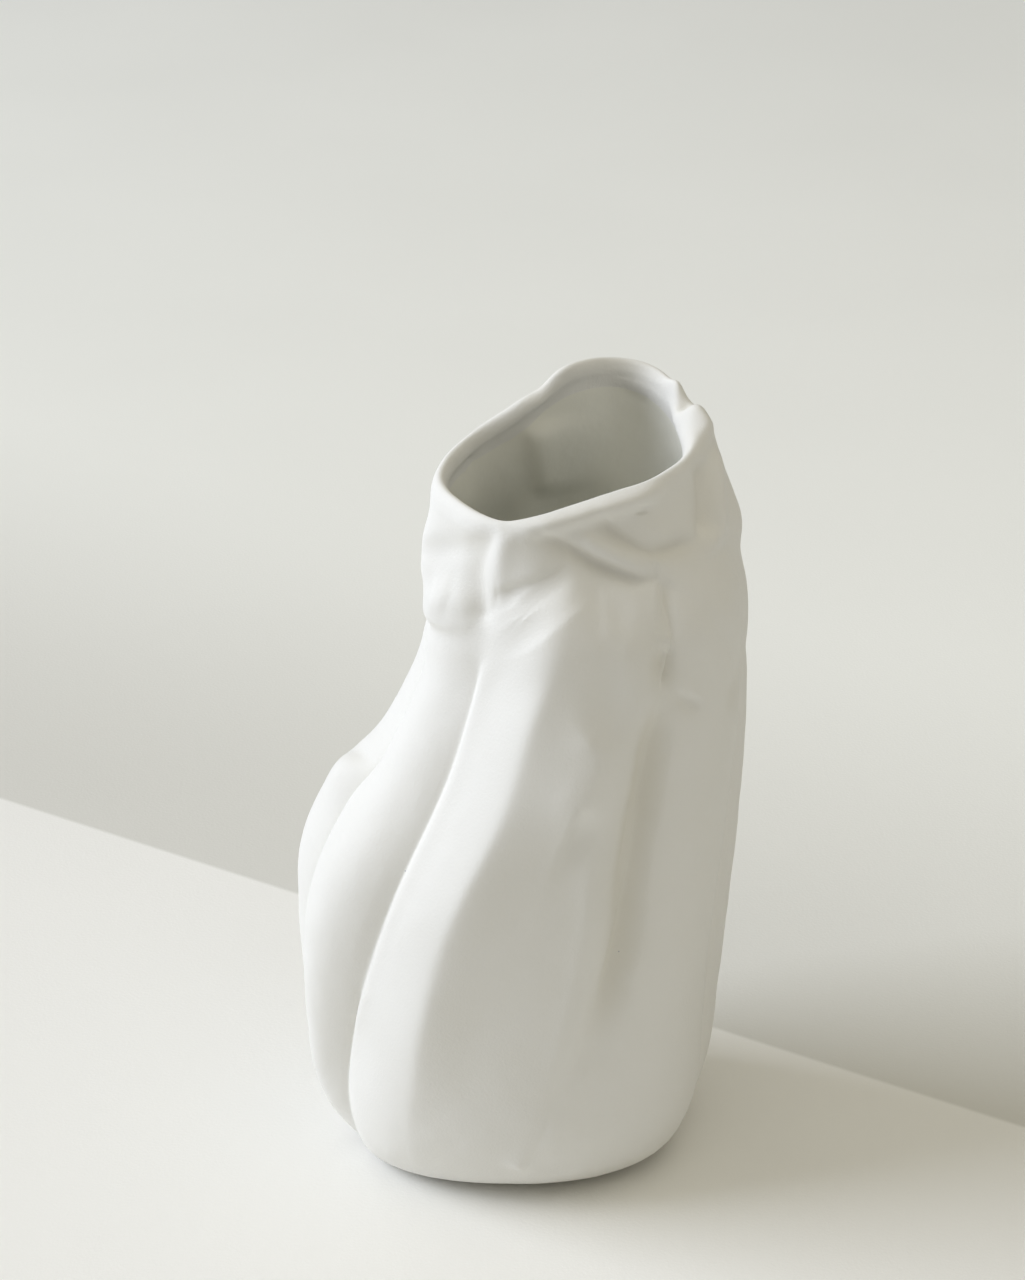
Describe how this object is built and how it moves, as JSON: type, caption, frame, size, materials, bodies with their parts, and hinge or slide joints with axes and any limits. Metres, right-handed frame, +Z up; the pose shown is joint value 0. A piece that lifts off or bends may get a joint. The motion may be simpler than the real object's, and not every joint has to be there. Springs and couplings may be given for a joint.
{
  "type": "vase",
  "caption": "Hand-built white ceramic vase with a lobed body, a folded collar and a leaning, tilted mouth; holds cut or dried stems.",
  "frame": {"origin": "centre of the foot ring, on the plane that the vase stands on", "axes": "+Z up along the vase's height, +X to the right and -Y to the front as the vase is pictured"},
  "size_m": [0.1749, 0.1532, 0.3104],
  "materials": {
    "clay": "matte, finely grained",
    "joined_clay": "matte, bare",
    "glaze": "satin"
  },
  "bodies": {
    "root": {"foot_ring": "joined_clay", "floor_slab": "joined_clay", "lobe_right": "clay", "lobe_back_right": "clay", "lobe_back": "clay", "lobe_back_left": "clay", "lobe_left": "clay", "lobe_front_left": "clay", "lobe_front_ridge": "clay", "lobe_front": "clay", "lobe_front_right": "clay", "collar_right": "clay", "collar_back": "clay", "collar_left": "clay", "collar_front": "clay", "rim_coil": "clay", "glaze_lining": "glaze"}
  },
  "joints": []
}
